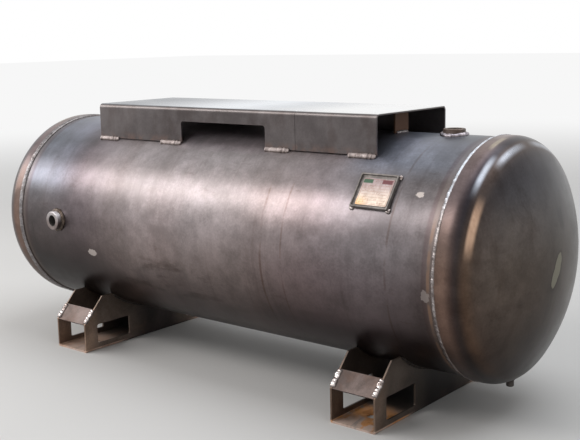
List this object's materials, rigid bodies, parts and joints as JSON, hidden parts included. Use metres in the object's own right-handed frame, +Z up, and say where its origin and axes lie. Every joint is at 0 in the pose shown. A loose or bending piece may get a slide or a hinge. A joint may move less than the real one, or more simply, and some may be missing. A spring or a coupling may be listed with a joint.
{
  "type": "horizontal pressure tank",
  "caption": "Welded steel pressure tank lying on two folded saddles, with dished ends, a folded mounting platform over the crown and threaded sockets.",
  "frame": {"origin": "on the floor under the tank's axis, midway between the four anchor holes of the two saddles", "axes": "+X along the tank toward the head with the drain, +Y across it away from the data plate, +Z up"},
  "size_m": [1.885, 0.6388, 0.77],
  "materials": {
    "shell_steel": "satin rolled plate with mill scale",
    "head_steel": "satin pressed plate, dark",
    "platform_steel": "smooth cold rolled plate",
    "stay_steel": "matte plate with light rust",
    "saddle_steel": "dark mill scale",
    "end_plate_steel": "satin plate",
    "socket_steel": "turned steel",
    "weld_bead": "rippled weld bead",
    "bright_weld": "bright rippled weld bead",
    "tray_steel": "matte folded sheet",
    "plate_metal": "polished, warm tint"
  },
  "bodies": {
    "root": {"shell": "shell_steel", "shell_seam_weld": "weld_bead", "left_head": "head_steel", "right_head": "head_steel", "left_head_weld": "weld_bead", "right_head_weld": "weld_bead", "platform_left_section": "platform_steel", "platform_right_section": "platform_steel", "left_stay": "stay_steel", "right_stay": "stay_steel", "stay_welds": "weld_bead", "front_skirt_welds": "bright_weld", "rear_skirt_welds": "bright_weld", "left_saddle": "saddle_steel", "right_saddle": "saddle_steel", "left_saddle_front_plate": "end_plate_steel", "left_saddle_rear_plate": "end_plate_steel", "right_saddle_front_plate": "end_plate_steel", "right_saddle_rear_plate": "end_plate_steel", "left_saddle_plate_welds": "bright_weld", "right_saddle_plate_welds": "bright_weld", "left_saddle_shell_welds": "weld_bead", "right_saddle_shell_welds": "weld_bead", "front_socket": "socket_steel", "front_socket_weld": "bright_weld", "top_socket": "socket_steel", "top_socket_weld": "weld_bead", "drain_socket": "socket_steel", "drain_socket_weld": "weld_bead", "data_plate_tray": "tray_steel", "data_plate": "plate_metal", "data_plate_welds": "bright_weld"}
  },
  "joints": []
}
